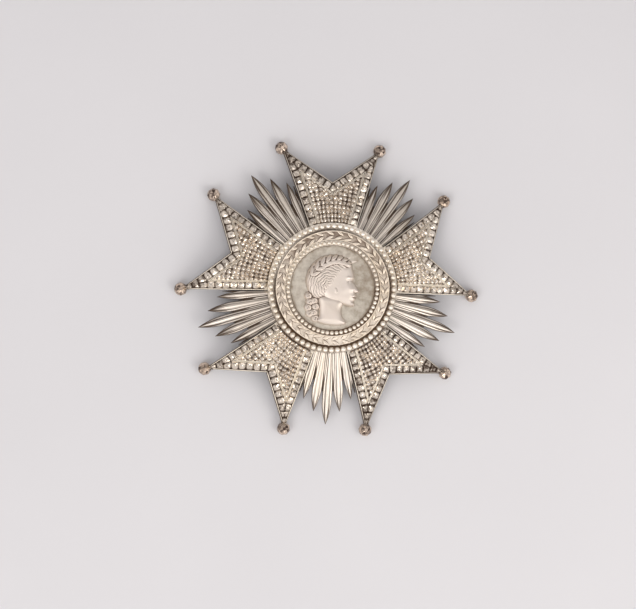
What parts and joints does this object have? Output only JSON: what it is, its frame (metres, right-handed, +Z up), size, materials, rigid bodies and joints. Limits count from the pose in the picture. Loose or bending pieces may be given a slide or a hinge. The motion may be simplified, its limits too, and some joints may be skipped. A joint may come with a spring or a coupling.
{
  "type": "breast star",
  "caption": "Star of an order: double-pointed diamond-cut arms with ball finials, bundles of plain rays between them, and a beaded round centre with a head in relief.",
  "frame": {"origin": "the star's centre, on the surface that its finials rest on", "axes": "+Z up out of the front, +Y along the top arm, +X to the right seen from the front"},
  "size_m": [0.0898, 0.0856, 0.0144],
  "materials": {
    "silver": "diamond-cut silver, bright on the facets and brown in the recesses",
    "bright_silver": "smooth polished silver",
    "satin_silver": "satin silver with a grey patina",
    "dark_silver": "tarnished silver"
  },
  "bodies": {
    "root": {"ray_plate": "bright_silver", "arm_1": "silver", "arm_2": "silver", "arm_3": "silver", "arm_4": "silver", "arm_5": "silver", "centre_setting": "silver", "laurel_ring": "satin_silver", "inner_bead_ring": "silver", "medallion": "satin_silver", "back_pin": "dark_silver"}
  },
  "joints": []
}
